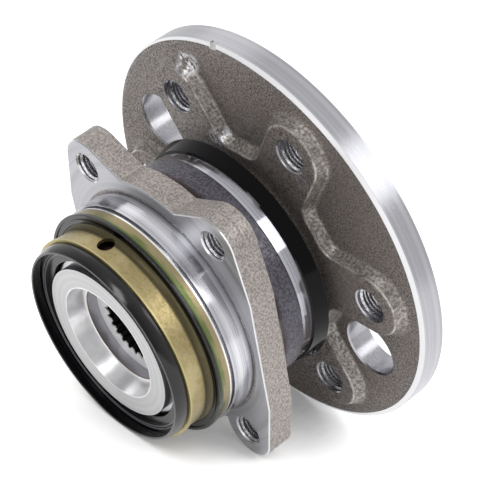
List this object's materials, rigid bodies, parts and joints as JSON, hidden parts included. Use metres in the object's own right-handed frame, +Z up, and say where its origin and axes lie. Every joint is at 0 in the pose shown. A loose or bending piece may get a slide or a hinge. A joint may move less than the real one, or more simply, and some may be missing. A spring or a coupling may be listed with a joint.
{
  "type": "wheel hub bearing",
  "caption": "Driven wheel hub unit: flanged hub with tapped wheel bolt pads and splined bore, turning in a double-row ball bearing with a four-lug mounting ring and sealing sleeve.",
  "frame": {"origin": "centre of the wheel bolt circle on the outboard wheel face", "axes": "+Y along the hub axis, outboard to the wheel; -Y inboard to the axle; +Z up, midway between the two upper mounting lugs"},
  "size_m": [0.1753, 0.1075, 0.1752],
  "materials": {
    "ring_steel": "forged steel, rough skin on the lugs, turned and ground on the faces and spigot",
    "hub_steel": "forged steel, dark shot-blasted skin, turned bright on the rim, pads and bore",
    "bearing_steel": "ground bearing steel",
    "ball_steel": "lapped and polished bearing steel",
    "cage_nylon": "moulded glass-filled nylon",
    "seal_case": "pressed steel with a smooth glossy black coat",
    "rubber": "moulded black nitrile rubber",
    "spring_steel": "close-wound spring wire",
    "stainless_sheet": "pressed stainless sheet",
    "zinc_sleeve": "pressed steel, zinc plated and yellow passivated",
    "encoder_rubber": "magnetised rubber, smooth"
  },
  "bodies": {
    "ring_unit": {"outer_ring": "ring_steel", "outboard_seal_case": "seal_case", "inboard_seal_case": "seal_case", "outboard_seal_lip": "rubber", "inboard_seal_lip": "rubber", "outboard_garter_spring": "spring_steel", "inboard_garter_spring": "spring_steel", "sealing_sleeve": "zinc_sleeve", "sleeve_seal_ring": "rubber", "inboard_face_seal": "rubber"},
    "hub_unit": {"flanged_hub": "hub_steel", "inboard_inner_ring": "bearing_steel", "outboard_slinger": "stainless_sheet", "inboard_slinger": "stainless_sheet", "encoder_carrier": "stainless_sheet", "encoder_ring": "encoder_rubber"},
    "outboard_row": {"outboard_balls": "ball_steel", "outboard_cage": "cage_nylon"},
    "inboard_row": {"inboard_balls": "ball_steel", "inboard_cage": "cage_nylon"}
  },
  "joints": [
    {"name": "hub_spin", "type": "hinge", "parent": "ring_unit", "child": "hub_unit", "pos_m": [0, -0.05315, 0], "axis": [0, 1, 0], "continuous": true},
    {"name": "outboard_row_spin", "type": "hinge", "parent": "ring_unit", "child": "outboard_row", "pos_m": [0, -0.0438, 0], "axis": [0, 1, 0], "continuous": true},
    {"name": "inboard_row_spin", "type": "hinge", "parent": "ring_unit", "child": "inboard_row", "pos_m": [0, -0.0625, 0], "axis": [0, 1, 0], "continuous": true}
  ],
  "couplings": [
    {"joint": "outboard_row_spin", "follows": "hub_spin", "ratio": 0.4305},
    {"joint": "inboard_row_spin", "follows": "hub_spin", "ratio": 0.4305}
  ]
}
